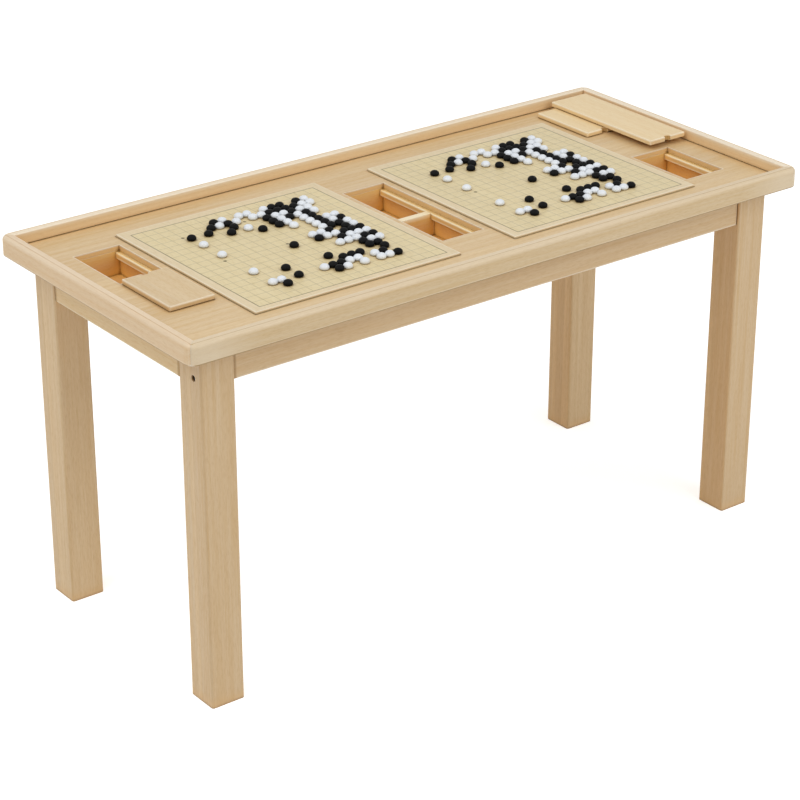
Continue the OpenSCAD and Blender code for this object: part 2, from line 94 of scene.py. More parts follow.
# Ranges over which a mask runs, of a noise, of the cosine between two normals or of ambient occlusion
STREAK_RANGE, FIBRE_RANGE, PORE_RANGE = (0.34, 0.66), (0.30, 0.70), (0.46, 0.72)
ARRIS_RANGE, NOOK_RANGE, JOINT_RANGE = (0.995, 0.88), (0.50, 0.95), (0.45, 0.80)
# Below this the mask of the painted shade lines counts as no line
LEAST_DARK = 0.05

# Share of a mark's width over which it keeps its full strength
WORN_CORE, RUBBED_CORE, LINE_CORE, GRIP_CORE, MOUTH_CORE, LEG_CORE = 0.35, 0.2, 0.3, 0.3, 0.5, 7 / 11
# Share of the painted depth shade's run at which it begins, and of the depth of a cut wall at which its
# painted shade colour is full
AMBER_START, INSIDE_END = 0.1, 1.3

# Steps through the noise from one tone of stave to the next, and from one node to the next
STAVE_STEP, NODE_STEP = 9.0, 3.7
# Height of the grain in the lacquer, and of the grit on the stones
RELIEF = 0.05 * MM


def linear(hex_colour):
    """Linear red, green and blue of an sRGB hex colour: c / 12.92 up to 0.04045, and above that
    ((c + 0.055) / 1.055) to the power 2.4."""
    c = np.array([int(hex_colour[i:i + 2], 16) for i in (1, 3, 5)]) / 255
    return np.where(c <= 0.04045, c / 12.92, ((c + 0.055) / 1.055) ** 2.4).tolist()


def colour(name, hex_colour, description):
    """Colour setting, written as an sRGB hex value."""
    return FloatVectorProperty(
        name=name, description=description, subtype="COLOR", size=3, min=0, max=1,
        default=linear(hex_colour)
    )


def length(name, millimetres, description):
    """Length setting, written in millimetres and held in metres."""
    return FloatProperty(
        name=name, description=description, unit="LENGTH", min=0, precision=5, default=millimetres * MM
    )


def share(name, value, description):
    """Setting without a unit that runs from nothing to full."""
    return FloatProperty(name=name, description=description, subtype="FACTOR", min=0, max=1, default=value)


class WeiqiWoodSettings(bpy.types.PropertyGroup):
    """Colours of the table's woods, and the sizes and strengths of what shows in them"""
    # The three rail colours are one wood, lit and shaded: the front rail's darker tone is painted shade, and
    # the paler left and far rails are painted light
    rim_front: colour("Front rail", "#DFC69B", "Wood of the rim's front rail")
    rim_left: colour("Left rail", "#E7CAA0", "Wood of the rim's left rail, paler than the front one")
    rim_far: colour("Far rails", "#EDD3A9", "Wood of the rim's back and right rails, the palest ones")
    frame: colour("Frame", "#DEC195", "Wood of the legs and of the long aprons")
    # The end aprons' paler, warmer tone is painted light on the left end's face
    end_apron: colour("End aprons", "#E9CB96", "Wood of the aprons at the table's ends, a little warmer")
    # Painted shade on the right legs' left sides, which face the table's inside
    flat_sawn: colour("Flat-sawn side", "#FFF3E3", "Tint of the right legs' flat-sawn left sides")
    deck: colour("Deck", "#E2C79A", "Wood of the deck")
    # Painted shade with warm bounce light on the deck's cut edge round the wells
    deck_cut: colour("Cut deck", "#E8C68C", "Lacquered cut edge of the deck round the wells")
    # The right and long lids' paler colour is painted light, as the table's back right is lit more
    lid: colour("Left lid", "#E1C79B", "Wood of the left lid")
    pale_lid: colour("Other lids", "#F1D8A9", "Wood of the right and the long lid, paler than the left one")
    well: colour("Wells", "#F4D690", "Wood of the wells' sides, floors and ledges")
    # Painted shade in the wells: their wood is tinted darker and warmer further below the deck
    amber: colour("Amber", "#EED5C9", "Tint that the wells' wood takes on further down")
    amber_run: length("Amber run", 38, "Depth below the deck at which the amber tint is full")
    bearer: colour("Bearers", "#DEC6A0", "Wood of the hidden bearers and tongues")
    deck_stave: length("Deck stave", 74, "Width of the staves glued into the deck")
    leg_stave: length("Leg stave", 11.3, "Width of the staves glued into a leg")
    lid_stave: length("Lid stave", 31, "Width of the staves glued into a lid")
    stave_tone: share("Stave tone", 0.30, "How much of the late wood's shade a whole stave can have")
    streak: length("Streak", 9, "Width of a streak of early and late wood")
    streak_run: length("Streak run", 420, "Length over which a streak keeps its tone")
    streak_tone: share("Streak tone", 0.36, "How much of the late wood's shade a streak brings")
    fibre: length("Fibre", 2.2, "Width of the fine lines between the streaks")
    fibre_run: length("Fibre run", 90, "Length of the fine lines")
    fibre_tone: share("Fibre tone", 0.26, "How much of the late wood's shade a fine line brings")
    pore: length("Pore", 1.3, "Width of the open pores, drawn wider than real ones, which wouldn't show")
    pore_run: length("Pore run", 12, "Length of the open pores")
    pore_tone: share("Pore tone", 0.20, "How dark the open pores are")
    # The edges below are paler by a painted highlight, along with sanded wear
    arris: length("Arris", 2.0, "Rounding of the sanded edges that the solids leave sharp")
    arris_pale: share("Pale arris", 0.7, "How pale such an edge is")
    worn: length("Worn edge", 4.0, "How far the pale sanding runs in from a piece's edges")
    # Painted highlight, along with sanded wear, round the wells' openings
    mouth: length("Mouth edge", 2.4, "Width of the pale sanding round the wells' openings in the deck")
    mouth_pale: share("Pale mouth", 0.65, "How pale the sanding round the wells' openings is")
    grip: length("Grip", 150, "How far the paler ends of the front rail reach")
    grip_pale: share("Pale grip", 0.3, "How pale the ends of the front rail are")
    # Cut walls take their painted shade colour from this depth in
    inside: length("Inside", 1.8, "How deep in a piece its cut walls begin, which take on more lacquer")
    rounding: length("Rounding", 9.0, "Width of the rim's rounded outer edge, as in the CAD")
    # Painted shade lines on the rails: the line on top, where the rounding begins, and the foot line on the
    # lower outer edge
    line: length("Line", 1.2, "Half the width of the dark line that lacquer leaves on top of a rail")
    line_dark: share("Dark line", 0.30, "How dark the line on top of a rail is")
    foot_line: length("Foot line", 2.64, "Width of the dark line along a rail's lower edge")
    foot_dark: share("Dark foot line", 0.75, "How dark the line along a rail's lower edge is")
    leg_line: length("Leg line", 7.7, "Width of the shade on an apron beside a leg")
    leg_dark: share("Dark leg line", 0.6, "How dark the shade beside a leg is")
    # Painted bounce light: wood near other geometry, found by ambient occlusion, gets a warmer tint
    nook: length("Nook", 28, "How far the warmer tint of sheltered wood reaches")
    nook_warm: share("Warm nook", 0.6, "How strong the warmer tint of sheltered wood is")
    # Painted shade in corners, joints and under things, found by ambient occlusion
    joint: length("Joint", 7.0, "How far the darker lacquer of inner corners and joints reaches")
    joint_dark: share("Dark joint", 0.85, "How dark the lacquer in the joints is")


class WeiqiBoardSettings(bpy.types.PropertyGroup):
    """The two playing boards and the grid printed on them"""
    wood: colour("Field", "#E1CFA0", "Wood of the boards, under the yellow print of the field")
    margin: colour("Margin", "#E2CEA6", "Paler wood between the grid and the board's edge")
    ink: colour("Ink", "#544922", "Ink of the grid")
    off_centre: length("Off centre", 2.9, "How far the print sits in front of the board's middle")
    cell_x: length("Cell along", 23.25, "Spacing of the grid lines along the table")
    cell_y: length("Cell across", 23.65, "Spacing of the grid lines across the table")
    cells: IntProperty(name="Cells", description="Cells of the grid each way", min=2, default=18)
    star_step: IntProperty(name="Star step", description="Cells between two star points", min=1, default=6)
    line: length("Line", 1.0, "Width of an inner grid line")
    frame_line: length("Frame line", 1.8, "Width of the line round the grid")
    star: length("Star", 6.5, "Diameter of a star point")
    line_ink: share("Line ink", 0.46, "Strength of the ink in an inner grid line")
    frame_ink: share("Frame ink", 0.85, "Strength of the ink in the line round the grid")
    star_ink: share("Star ink", 0.95, "Strength of the ink in a star point")
    printed: length("Printed", 0.2, "Depth below a board's top down to which it counts as printed")
    stave: length("Stave", 26, "Width of the staves glued into a board")
    grain: share("Grain", 0.35, "Contrast of the boards' grain")
    # Painted highlight, along with sanded wear, on the boards' edges
    edge_pale: share("Pale edge", 0.5, "How pale the boards' sanded edges are")


class WeiqiStoneSettings(bpy.types.PropertyGroup):
    """The stones of the two positions"""
    black: colour("Black", "#050506", "Black stones")
    white: colour("White", "#EBF0F6", "White stones")
    pitch_x: length("Pitch along", 19, "Spacing of the stones along the table, as in the CAD")
    pitch_y: length("Pitch across", 20.4, "Spacing of the stones across the table, as in the CAD")
    width: length("Width", 18.7, "Diameter of a stone, as in the CAD")
    edge: length("Edge", 3.6, "Height of a stone's widest part")
    foot: length("Foot", 13, "Diameter of a stone's flat underside")
    sides: IntProperty(name="Sides", description="Sides of a stone seen from above", min=8, default=18)
    rings: IntProperty(
        name="Rings", description="Rings from a stone's widest part to its top", min=3, default=5
    )
    belly_rings: IntProperty(
        name="Belly rings", description="Rings from a stone's foot to its widest part", min=2, default=2
    )
    black_rough: share("Black roughness", 0.60, "Roughness of a black stone, which is matt")
    black_gloss: share("Black gloss", 0.12, "Strength of the sheen on a black stone")
    white_rough: share("White roughness", 0.38, "Roughness of a white stone")
    white_gloss: share("White gloss", 0.5, "Strength of the sheen on a white stone")
    grit: length("Grit", 0.8, "Size of the grit on a stone")


class WeiqiStageSettings(bpy.types.PropertyGroup):
    """Floor, light and camera"""
    floor: colour("Floor", "#F6F6F5", "Plain pale floor")
    floor_size: length("Floor size", 30000, "Side of the square floor")
    glow: share("Floor lift", 0.55, "How much whiter the floor shows than the light makes it")
    sky: share("Sky", 0.5, "Brightness of the light from all round")
    front_power: FloatProperty(
        name="Front light", description="Power of the lamp in front", unit="POWER", default=60
    )
    front_size: length("Front size", 3000, "Side of the lamp in front")
    front_place: FloatVectorProperty(
        name="Front place", description="Middle of the lamp in front", unit="LENGTH", default=(1.4, -3.4, 3.4)
    )
    left_power: FloatProperty(
        name="Left light", description="Power of the high lamp on the left", unit="POWER",
        default=128
    )
    left_size: length("Left size", 4500, "Side of the high lamp on the left")
    left_place: FloatVectorProperty(
        name="Left place", description="Middle of the high lamp on the left", unit="LENGTH",
        default=(-3.5, -0.2, 5.3)
    )
    aim: FloatVectorProperty(
        name="Aim", description="Point in the middle of the view", unit="LENGTH",
        default=(-0.1366, -0.1410, 0.400)
    )
    distance: length("Distance", 4898, "From the aim to the camera")
    azimuth: FloatProperty(
        name="Azimuth", description="Turn of the camera round the table", unit="ROTATION",
        default=math.radians(-37.35)
    )
    elevation: FloatProperty(
        name="Elevation", description="Height of the camera above the horizon", unit="ROTATION",
        default=math.radians(25.48)
    )
    lens: FloatProperty(
        name="Lens", description="Focal length in millimetres", unit="CAMERA", default=115.46
    )
    shift: FloatProperty(name="Shift", description="How far the view is shifted up", default=0.0099)


class WeiqiTableSettings(bpy.types.PropertyGroup):
    """All settings of the table and its studio"""
    wood: PointerProperty(type=WeiqiWoodSettings)
    board: PointerProperty(type=WeiqiBoardSettings)
    stones: PointerProperty(type=WeiqiStoneSettings)
    stage: PointerProperty(type=WeiqiStageSettings)


def add(tree, kind, inputs, **settings):
    """Adds a shader node and returns its outputs. Settings are the node's own, and inputs pairs a socket's
    name or number with the output that feeds it, or with its value."""
    node = tree.nodes.new(f"ShaderNode{kind}")
    for name, value in settings.items():
        setattr(node, name, value)
    for name, value in inputs.items():
        if isinstance(value, bpy.types.NodeSocket):
            tree.links.new(value, node.inputs[name])
        else:
            node.inputs[name].default_value = value
    return node.outputs


def new_material(name):
    """Empty material and its node tree."""
    material = bpy.data.materials.new(name)
    material.use_nodes = True
    material.node_tree.nodes.clear()
    return material, material.node_tree


def opaque(rgb):
    """Colour with full alpha, as a colour socket holds it."""
    return (*rgb, 1)


def deeper(rgb, power, gain=1.0):
    """Shade of a wood colour: each channel to a power, times a gain. A power above 1 makes it darker and
    warmer, and one below 1 paler."""
    return opaque([gain * c ** power for c in rgb])


def duller(rgba, amount):
    """Duller shade of a full colour: each channel drawn towards their mean."""
    rgb = rgba[:3]
    mean = sum(rgb) / 3
    return opaque([c + amount * (mean - c) for c in rgb])


def grain_axes(node):
    """Axes of a wooden piece: grain along its longest side, staves side by side over its next longest."""
    low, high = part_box(node)
    order = np.argsort([low[i] - high[i] for i in range(3)], kind="stable")
    return [int(i) for i in order]


def seed_of(node):
    """Number that gives a piece its own cut of the pattern, from its place in the sorted list of nodes."""
    return NODE_STEP * sorted(frame["nodes"]).index(node)


def stave_tones(tree, place, node, axis, stave):
    """Random tone of each glued stave: the whole number of staves from the piece's edge feeds a random
    generator."""
    low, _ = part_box(node)
    start, scale = [0, 0, 0], [1, 1, 1]
    start[axis], scale[axis] = -low[axis] / stave, 1 / stave
    counted = add(tree, "Mapping", {"Vector": place, "Location": start, "Scale": scale})[0]
    along_axis = add(tree, "SeparateXYZ", {0: counted})[axis]
    count = add(tree, "Math", {0: along_axis}, operation="FLOOR")[0]
    cell = add(tree, "Math", {0: count, 1: seed_of(node)}, operation="ADD")[0]
    return add(tree, "TexWhiteNoise", {"W": cell}, noise_dimensions="1D")["Value"]


def drawn_out(tree, place, along, width, run, slice_at, detail):
    """Noise of a width across the grain and a run along it: its space is stretched on the grain's axis."""
    scale = [1 / width] * 3
    scale[along] = 1 / run
    stretched = add(tree, "Mapping", {"Vector": place, "Scale": scale})[0]
    return add(
        tree, "TexNoise", {"Vector": stretched, "W": slice_at, "Scale": 1.0, "Detail": detail},
        noise_dimensions="4D"
    )["Fac"]


def wood_colour(tree, place, node, rgb, stave, contrast):
    """Colour of pale wood, with its fibres and pores. Three noises are drawn out along the grain: broad
    streaks of early and late wood, fine fibres and short open pores. Glued staves each get their own tone,
    between the wood's own colour and a duller one, and their own cut of the pattern."""
    size = bpy.context.scene.weiqi_table.wood
    along, across, _ = grain_axes(node)
    tone = stave_tones(tree, place, node, across, stave)
    cut = add(tree, "Math", {0: tone, 1: STAVE_STEP, 2: seed_of(node)}, operation="MULTIPLY_ADD")[0]
    streak = drawn_out(tree, place, along, size.streak, size.streak_run, cut, detail=3.0)
    fibre = drawn_out(tree, place, along, size.fibre, size.fibre_run, cut, detail=2.0)
    pore = drawn_out(tree, place, along, size.pore, size.pore_run, cut, detail=1.0)
    late, fine, fleck = (
        add(tree, "MapRange", {VALUE: noise, FROM_LOW: low, FROM_HIGH: high})[0]
        for noise, (low, high) in ((streak, STREAK_RANGE), (fibre, FIBRE_RANGE), (pore, PORE_RANGE))
    )
    shade = 0.0
    for pattern, strength in ((late, size.streak_tone), (fine, size.fibre_tone), (tone, size.stave_tone)):
        shade = add(
            tree, "Math", {0: pattern, 1: strength * contrast, 2: shade}, operation="MULTIPLY_ADD"
        )[0]
    early = deeper(rgb, *EARLY)
    dull = duller(early, DULLNESS * contrast)
    base = add(tree, "Mix", {FACTOR: tone, A: early, B: dull}, data_type="RGBA")[MIXED]
    body = add(tree, "Mix", {FACTOR: shade, A: base, B: deeper(rgb, *LATE)}, data_type="RGBA")[MIXED]
    speckle = add(tree, "Math", {0: fleck, 1: size.pore_tone}, operation="MULTIPLY")[0]
    pored = add(tree, "Mix", {FACTOR: speckle, A: body, B: deeper(rgb, *PORE)}, data_type="RGBA")[MIXED]
    return pored, fibre, fleck


def depths_in_box(tree, place, node):
    """How deep a point lies in its piece's box, three ways: from the nearest upright face, from the top, and
    the middle one of its distances to the three pairs of faces. On the surface of a box the smallest
    distance is nought, so the middle one is the distance to the nearest edge."""
    low, high = (np.array(corner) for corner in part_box(node))
    centred = add(tree, "Mapping", {"Vector": place, "Location": -(low + high) / 2})[0]
    away = add(tree, "VectorMath", {0: centred}, operation="ABSOLUTE")[0]
    inside = add(tree, "VectorMath", {0: (high - low) / 2, 1: away}, operation="SUBTRACT")[0]
    gap = add(tree, "SeparateXYZ", {0: inside})
    sideways = add(tree, "Math", {0: gap[X], 1: gap[Y]}, operation="MINIMUM")[0]
    more = add(tree, "Math", {0: gap[X], 1: gap[Y]}, operation="MAXIMUM")[0]
    upper = add(tree, "Math", {0: more, 1: gap[Z]}, operation="MINIMUM")[0]
    middle = add(tree, "Math", {0: sideways, 1: upper}, operation="MAXIMUM")[0]
    height = add(tree, "SeparateXYZ", {0: place})[Z]
    below_top = add(tree, "Math", {0: high[Z], 1: height}, operation="SUBTRACT")[0]
    return sideways, below_top, middle


def fading(tree, distance, full, none, strength=1.0):
    """Mask that is at its strength up to one distance and fades to nothing at a longer one."""
    return add(
        tree, "MapRange",
        {VALUE: distance, FROM_LOW: full, FROM_HIGH: none, TO_LOW: strength, TO_HIGH: 0.0}
    )[0]


def rail_lines(tree, place, node):
    """Painted shade lines along a rail: one on top, where the rounding of the outer edge begins, and one on
    the lower outer edge. Both are found by how far in from the table's outside a point lies."""
    size = bpy.context.scene.weiqi_table.wood
    axis = grain_axes(node)[2]
    low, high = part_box(node)
    part = add(tree, "SeparateXYZ", {0: place})
    away = add(tree, "Math", {0: part[axis]}, operation="ABSOLUTE")[0]
    inwards = add(tree, "Math", {0: CAD_BOX[1][axis], 1: away}, operation="SUBTRACT")[0]
    off_line = add(tree, "Math", {0: inwards, 1: size.rounding}, operation="SUBTRACT")[0]
    off_line = add(tree, "Math", {0: off_line}, operation="ABSOLUTE")[0]
    on_top = add(tree, "Math", {0: part[Z], 1: high[Z] - size.line}, operation="GREATER_THAN")[0]
    upper = fading(tree, off_line, LINE_CORE * size.line, size.line, size.line_dark)
    upper = add(tree, "Math", {0: upper, 1: on_top}, operation="MULTIPLY")[0]
    above_foot = add(tree, "Math", {0: part[Z], 1: low[Z]}, operation="SUBTRACT")[0]
    off_edge = add(tree, "Math", {0: inwards, 1: above_foot}, operation="MAXIMUM")[0]
    lower = fading(tree, off_edge, size.line, size.foot_line, size.foot_dark)
    return add(tree, "Math", {0: upper, 1: lower}, operation="MAXIMUM")[0]


def flat_sawn_side(tree, place, node):
    """Tint of a leg, darker and warmer on its left side: painted shade, as on a right leg that side faces the
    table's inside.
    """
    size = bpy.context.scene.weiqi_table.wood
    facing = add(tree, "SeparateXYZ", {0: add(tree, "NewGeometry", {})["Normal"]})[X]
    leftwards = add(tree, "MapRange", {VALUE: facing, FROM_LOW: -0.5, FROM_HIGH: -0.9})[0]
    return add(
        tree, "Mix", {FACTOR: leftwards, A: NO_TINT, B: opaque(size.flat_sawn)}, data_type="RGBA"
    )[MIXED]


def amber_depth(tree, place, node):
    """Tint of the wells: painted shade that deepens from the deck downwards, darker and warmer further down.
    """
    size = bpy.context.scene.weiqi_table.wood
    deck_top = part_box("deck_panel")[1][Z]
    height = add(tree, "SeparateXYZ", {0: place})[Z]
    depth = add(tree, "Math", {0: deck_top, 1: height}, operation="SUBTRACT")[0]
    down = add(
        tree, "MapRange", {VALUE: depth, FROM_LOW: AMBER_START * size.amber_run, FROM_HIGH: size.amber_run}
    )[0]
    return add(tree, "Mix", {FACTOR: down, A: NO_TINT, B: opaque(size.amber)}, data_type="RGBA")[MIXED]


def rubbed_ends(tree, place, node):
    """Paler ends of a rail, where hands take hold of the table."""
    size = bpy.context.scene.weiqi_table.wood
    axis = grain_axes(node)[0]
    along = add(tree, "SeparateXYZ", {0: place})[axis]
    away = add(tree, "Math", {0: along}, operation="ABSOLUTE")[0]
    to_end = add(tree, "Math", {0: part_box(node)[1][axis], 1: away}, operation="SUBTRACT")[0]
    return fading(tree, to_end, GRIP_CORE * size.grip, size.grip, size.grip_pale)


def leg_shade(tree, place, node):
    """Shade on an apron right beside its legs, which stand proud of it: found by how far along the apron a
    point lies from the nearer leg. The light comes from the left, so a long apron has it at its left only."""
    size = bpy.context.scene.weiqi_table.wood
    axis = grain_axes(node)[0]
    leg_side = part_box("leg_back_right")[0][axis]
    along = add(tree, "SeparateXYZ", {0: place})[axis]
    away = add(tree, "Math", {0: along}, operation="ABSOLUTE")[0]
    beside = add(tree, "Math", {0: leg_side, 1: away}, operation="SUBTRACT")[0]
    shade = fading(tree, beside, LEG_CORE * size.leg_line, size.leg_line, size.leg_dark)
    if axis == Y:
        return shade
    on_left = add(tree, "Math", {0: along, 1: 0.0}, operation="LESS_THAN")[0]
    return add(tree, "Math", {0: shade, 1: on_left}, operation="MULTIPLY")[0]


def well_mouth(well):
    """Inner corners of a well seen from above: between its two long sides and between its two ends."""
    sides = [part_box(n) for n in nodes_named(well) if n.endswith("_side")]
    ends = [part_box(n) for n in nodes_named(well) if n.endswith("_end")]
    low = [min(high[X] for _, high in sides), min(high[Y] for _, high in ends), 0]
    high = [max(low[X] for low, _ in sides), max(low[Y] for low, _ in ends), 0]
    return np.array(low), np.array(high)


def mouth_edges(tree, place, node):
    """Painted highlight, along with sanded wear, round each well's opening in the deck. The distance to a
    rectangle is the length of what is left when its half sides are taken from the point's distances to its
    middle, with nothing counted below nought."""
    size = bpy.context.scene.weiqi_table.wood
    nearest = 1.0
    for well in ("left_well", "mid_well", "right_well"):
        low, high = well_mouth(well)
        middle = -(low + high) / 2
        flat = add(tree, "Mapping", {"Vector": place, "Location": middle, "Scale": (1, 1, 0)})[0]
        away = add(tree, "VectorMath", {0: flat}, operation="ABSOLUTE")[0]
        past = add(tree, "VectorMath", {0: away, 1: (high - low) / 2}, operation="SUBTRACT")[0]
        outside = add(tree, "VectorMath", {0: past, 1: (0, 0, 0)}, operation="MAXIMUM")[0]
        distance = add(tree, "VectorMath", {0: outside}, operation="LENGTH")["Value"]
        nearest = add(tree, "Math", {0: nearest, 1: distance}, operation="MINIMUM")[0]
    return fading(tree, nearest, MOUTH_CORE * size.mouth, size.mouth, size.mouth_pale)


def lacquered(tree, tinted, fibre, fleck, rgb, worn, dark=0.0):
    """Satin clear lacquer over pale wood, whose fibres and pores still show in it. Arrises are paler by a
    painted highlight, along with sanded wear, both where the mask worn says so and where the surface turns
    from its own normal to a rounded one, but not on the painted shade lines of the mask dark. Where ambient
    occlusion finds other geometry near, the colour is warmed as painted bounce light, and right in corners
    and joints it is darkened as painted shade."""
    size = bpy.context.scene.weiqi_table.wood
    # Painted highlight where the Bevel node's rounded normal turns away from the flat one, along with sanded
    # wear
    rounded = add(tree, "Bevel", {"Radius": size.arris}, samples=4)[0]
    flat = add(tree, "NewGeometry", {})["Normal"]
    turned = add(tree, "VectorMath", {0: rounded, 1: flat}, operation="DOT_PRODUCT")["Value"]
    square, round_over = ARRIS_RANGE
    arris = add(
        tree, "MapRange",
        {VALUE: turned, FROM_LOW: square, FROM_HIGH: round_over, TO_LOW: 0.0, TO_HIGH: size.arris_pale}
    )[0]
    pale = add(tree, "Math", {0: arris, 1: worn}, operation="MAXIMUM")[0]
    # No painted highlight on the painted shade lines
    unlined = add(tree, "Math", {0: dark, 1: LEAST_DARK}, operation="LESS_THAN")[0]
    pale = add(tree, "Math", {0: pale, 1: unlined}, operation="MULTIPLY")[0]
    # Painted warm bounce light where ambient occlusion finds other geometry near
    sheltered = add(tree, "AmbientOcclusion", {"Distance": size.nook}, samples=4)["AO"]
    warm = fading(tree, sheltered, *NOOK_RANGE, size.nook_warm)
    # Painted shade where ambient occlusion is strong: in corners, joints and under lids and stones
    open_air = add(tree, "AmbientOcclusion", {"Distance": size.joint}, samples=4)["AO"]
    gathered = fading(tree, open_air, *JOINT_RANGE, size.joint_dark)
    tone = tinted
    for mask, shade in ((pale, SANDED), (dark, LINED), (warm, SHELTERED), (gathered, GATHERED)):
        tone = add(tree, "Mix", {FACTOR: mask, A: tone, B: deeper(rgb, *shade)}, data_type="RGBA")[MIXED]
    relief = add(tree, "Math", {0: fleck, 1: -1.0, 2: fibre}, operation="MULTIPLY_ADD")[0]
    grained = add(
        tree, "Bump", {"Strength": 0.35, "Distance": RELIEF, "Height": relief, "Normal": rounded}
    )[0]
    rough = add(tree, "MapRange", {VALUE: fleck, TO_LOW: 0.42, TO_HIGH: 0.58})[0]
    shader = add(
        tree, "BsdfPrincipled",
        {"Base Color": tone, "Roughness": rough, "Normal": grained, "IOR": 1.5, "Specular IOR Level": 0.4}
    )[0]
    add(tree, "OutputMaterial", {"Surface": shader})


def wood(node, finish, rgb, stave, contrast=1.0, edge_light=0.6, edge_dark=0.0, rubbed_top=0.0,
         cut_wall=None, tint_at=None, pale_at=None, dark_at=None):
    """Material of one wooden CAD node, with its own cut of the pattern. Its edges are paler by edge_light, a
    painted highlight along with sanded wear, or darker by edge_dark, a painted shade, and its top is paler by
    rubbed_top, a painted highlight. The walls of holes and cut-outs have the colour cut_wall, a painted
    shade. Of the three functions, tint_at gives a tint, and pale_at and dark_at give masks."""
    size = bpy.context.scene.weiqi_table.wood
    material, tree = new_material(f"{finish}_{node}")
    place = add(tree, "TexCoord", {})["Object"]
    tone, fibre, fleck = wood_colour(tree, place, node, rgb, stave, contrast)
    if tint_at:
        tint = tint_at(tree, place, node)
        tone = add(
            tree, "Mix", {FACTOR: 1.0, A: tone, B: tint}, data_type="RGBA", blend_type="MULTIPLY"
        )[MIXED]
    sideways, below_top, to_edge = depths_in_box(tree, place, node)
    # Painted highlight along the piece's edges, along with sanded wear
    pale = fading(tree, to_edge, WORN_CORE * size.worn, size.worn, edge_light)
    # Painted highlight on the top, fading out over the rounding's width below it
    rubbed = fading(tree, below_top, RUBBED_CORE * size.rounding, size.rounding, rubbed_top)
    pale = add(tree, "Math", {0: pale, 1: rubbed}, operation="MAXIMUM")[0]
    # Painted shade along the piece's edges, by edge_dark
    dark = fading(tree, to_edge, WORN_CORE * size.worn, size.worn, edge_dark)
    if pale_at:
        pale = add(tree, "Math", {0: pale, 1: pale_at(tree, place, node)}, operation="MAXIMUM")[0]
    if dark_at:
        dark = add(tree, "Math", {0: dark, 1: dark_at(tree, place, node)}, operation="MAXIMUM")[0]
    # Painted shade on the walls of holes and cut-outs
    if cut_wall:
        depth = add(tree, "Math", {0: sideways, 1: below_top}, operation="MINIMUM")[0]
        outer = fading(tree, depth, size.inside, INSIDE_END * size.inside)
        tone = add(tree, "Mix", {FACTOR: outer, A: cut_wall, B: tone}, data_type="RGBA")[MIXED]
        pale = add(tree, "Math", {0: pale, 1: outer}, operation="MULTIPLY")[0]
    lacquered(tree, tone, fibre, fleck, rgb, pale, dark)
    return material


def put_on(node, material):
    """Gives a CAD node its finish."""
    for place in frame["nodes"][node].material_slots:
        place.material = material


def finish_wood(nodes, finish, rgb, stave, **looks):
    """Gives several CAD nodes one wood, each with its own cut of the pattern."""
    for node in nodes:
        put_on(node, wood(node, finish, rgb, stave, **looks))


def nodes_named(*starts):
    """CAD nodes whose names begin with one of these words."""
    return [n for n in sorted(frame["nodes"]) if n.startswith(starts)]


class WEIQI_OT_rim(bpy.types.Operator):
    """Finish the mitred rim: straight-grained wood under satin lacquer, with painted highlights on its sanded
    edges and tops, and painted shade lines
    """
    bl_idname = "weiqi_table.rim"
    bl_label = "Rim"

    def execute(self, context):
        setting = context.scene.weiqi_table.wood
        for node, rgb, looks in (
            # Tops paler by painted highlight, most on the back and right rails
            ("rim_front", setting.rim_front, {"rubbed_top": 0.3, "pale_at": rubbed_ends}),
            ("rim_left", setting.rim_left, {"rubbed_top": 0.3}),
            ("rim_back", setting.rim_far, {"rubbed_top": 0.45}),
            ("rim_right", setting.rim_far, {"rubbed_top": 0.6}),
        ):
            # Painted shade lines along the top and the lower edge of each rail
            finish_wood(
                [node], "lacquered_rail", rgb, setting.deck_stave,
                edge_light=0.75, dark_at=rail_lines, **looks
            )
        finish_wood(["rim_splines"], "bare_wood", setting.bearer, setting.deck_stave)
        return {"FINISHED"}


class WEIQI_OT_deck(bpy.types.Operator):
    """Finish the deck: wide glued staves under satin lacquer"""
    bl_idname = "weiqi_table.deck"
    bl_label = "Deck"

    def execute(self, context):
        setting = context.scene.weiqi_table.wood
        # Painted shade with warm bounce light on the deck's cut edge, and a painted highlight with sanded
        # wear round the openings
        finish_wood(
            ["deck_panel"], "lacquered_deck", setting.deck, setting.deck_stave, contrast=1.25,
            cut_wall=opaque(setting.deck_cut), pale_at=mouth_edges
        )
        return {"FINISHED"}


class WEIQI_OT_frame(bpy.types.Operator):
    """Finish the legs, aprons and bearers: glued legs and solid aprons under satin lacquer"""
    bl_idname = "weiqi_table.frame"
    bl_label = "Frame"

    def execute(self, context):
        setting = context.scene.weiqi_table.wood
        for node in nodes_named("leg_front", "leg_back"):
            # Right legs: painted shade on their left sides
            tint = flat_sawn_side if node.endswith("_right") else None
            # Painted shade on the legs' edges, and on the walls of their bolt holes
            finish_wood(
                [node], "lacquered_leg", setting.frame, setting.leg_stave,
                edge_light=0.0, edge_dark=0.12, cut_wall=deeper(setting.frame, *BOLT_HOLE), tint_at=tint
            )
        for nodes, rgb in (
            (("apron_front", "apron_back"), setting.frame),
            (("apron_left", "apron_right"), setting.end_apron),
        ):
            finish_wood(nodes, "lacquered_apron", rgb, setting.deck_stave, dark_at=leg_shade)
        finish_wood(nodes_named("bearer_"), "bare_wood", setting.bearer, setting.deck_stave)
        return {"FINISHED"}


